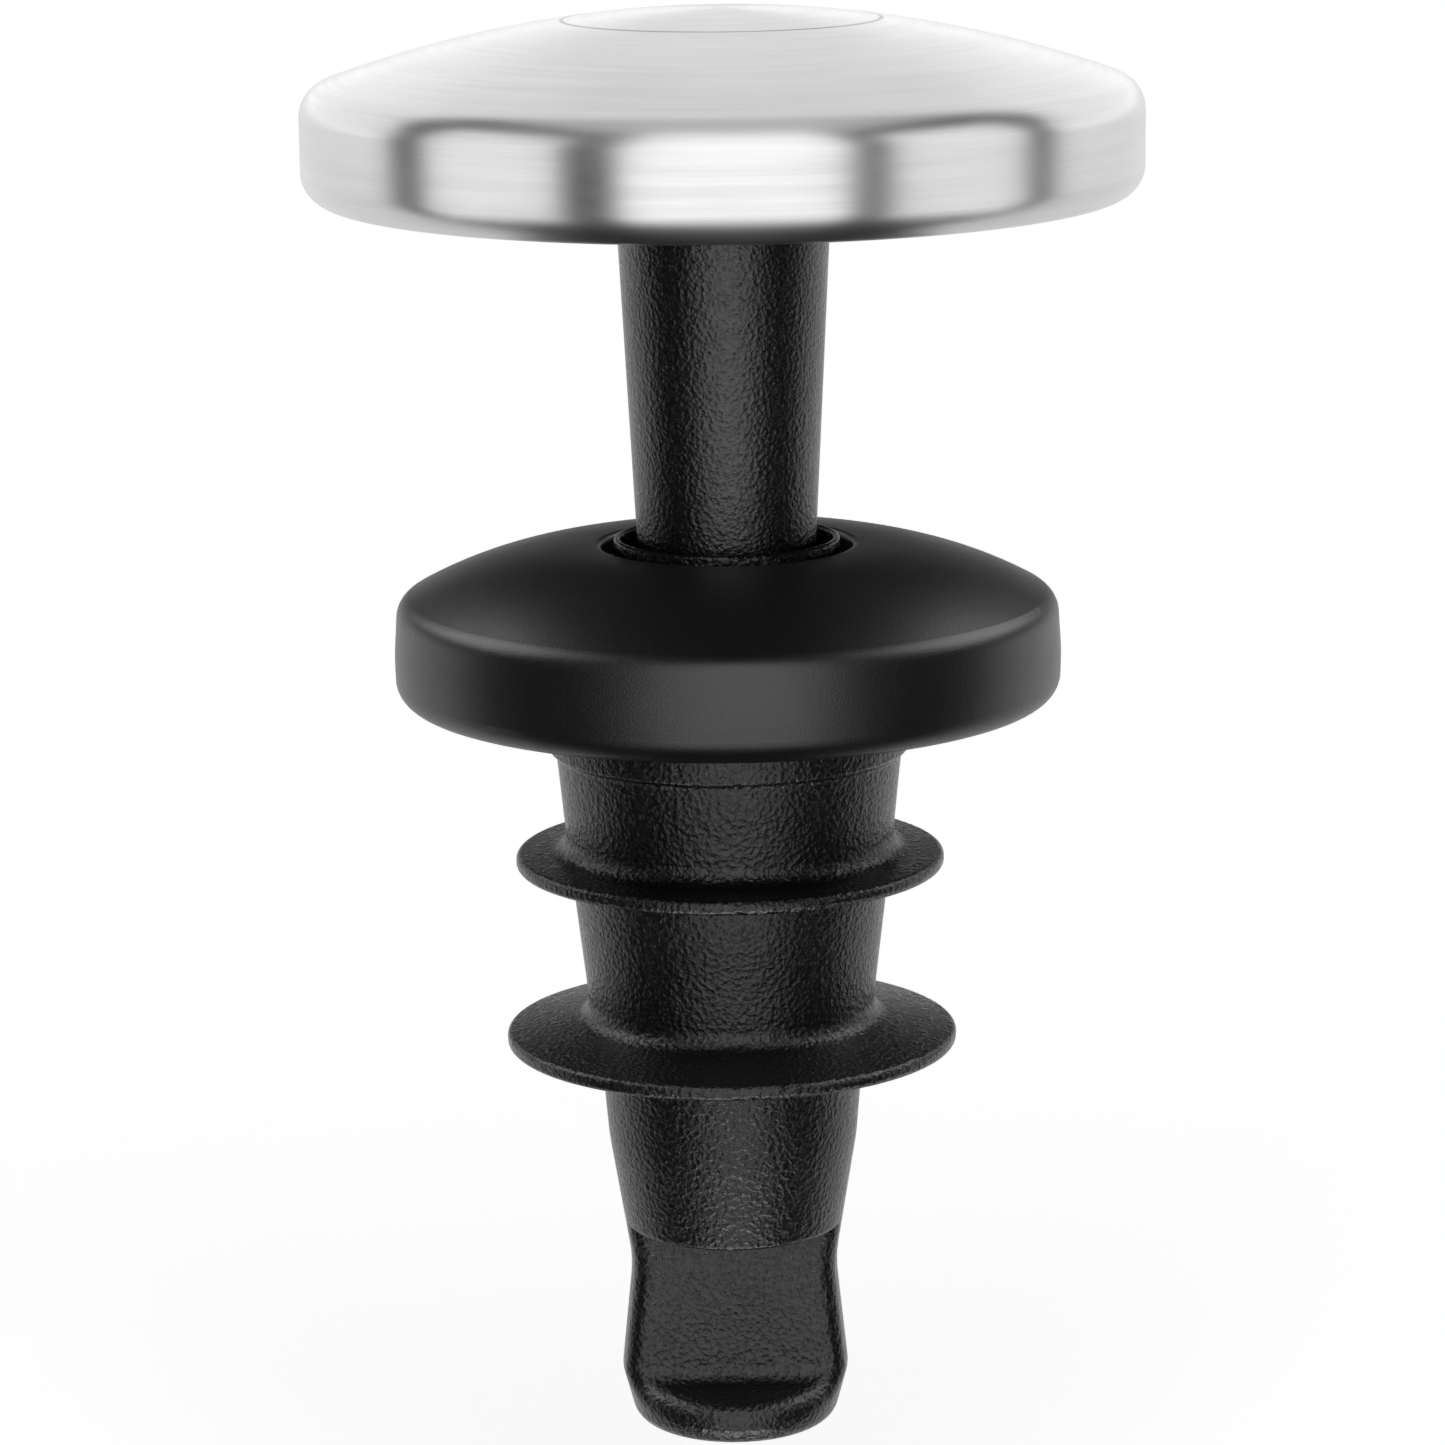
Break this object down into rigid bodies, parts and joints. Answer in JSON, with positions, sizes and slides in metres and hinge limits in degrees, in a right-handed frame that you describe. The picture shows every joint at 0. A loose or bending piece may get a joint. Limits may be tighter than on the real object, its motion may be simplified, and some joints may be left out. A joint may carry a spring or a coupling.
{
  "type": "bottle pour spout with pull-up stopper",
  "caption": "Bottle stopper and pour spout: a domed steel cap on a tapered stem lifts out of a black collar to open the pouring gap; a finned rubber plug holds it in the bottle's neck.",
  "frame": {"origin": "centre of the collar's flat underside, which rests on the bottle's rim", "axes": "+Z along the stem towards the cap, -Y towards the front notch of the plug's tail, +X to the right seen from the front"},
  "size_m": [0.0434, 0.0434, 0.0759],
  "materials": {
    "brushed_cap": "fine circular brushing, satin",
    "screw_steel": "plain machined",
    "grained_black": "coarse moulded leather-like grain, semi-matte",
    "collar_black": "fine even moulded texture, matte",
    "moulded_black": "plain moulded",
    "grained_rubber": "coarse moulded leather-like grain, semi-matte",
    "seal_rubber": "smooth"
  },
  "bodies": {
    "stopper": {"stopper_sleeve": "grained_rubber", "core_tube": "moulded_black", "collar_cover": "collar_black", "collar_base": "collar_black", "guide_ring": "moulded_black", "pour_lip": "grained_rubber", "guide_seal": "seal_rubber"},
    "slider": {"foot_o_ring": "seal_rubber"},
    "plunger": {"cap_shell": "brushed_cap", "cap_insert": "moulded_black", "cap_screw": "screw_steel", "stem": "grained_black", "stem_foot": "moulded_black"}
  },
  "joints": [
    {"name": "cap_lift", "type": "slide", "parent": "stopper", "child": "slider", "axis": [0, 0, 1], "range_m": [-0.022, 0]},
    {"name": "cap_swivel", "type": "hinge", "parent": "slider", "child": "plunger", "pos_m": [0, 0, 0], "axis": [0, 0, 1], "continuous": true}
  ]
}
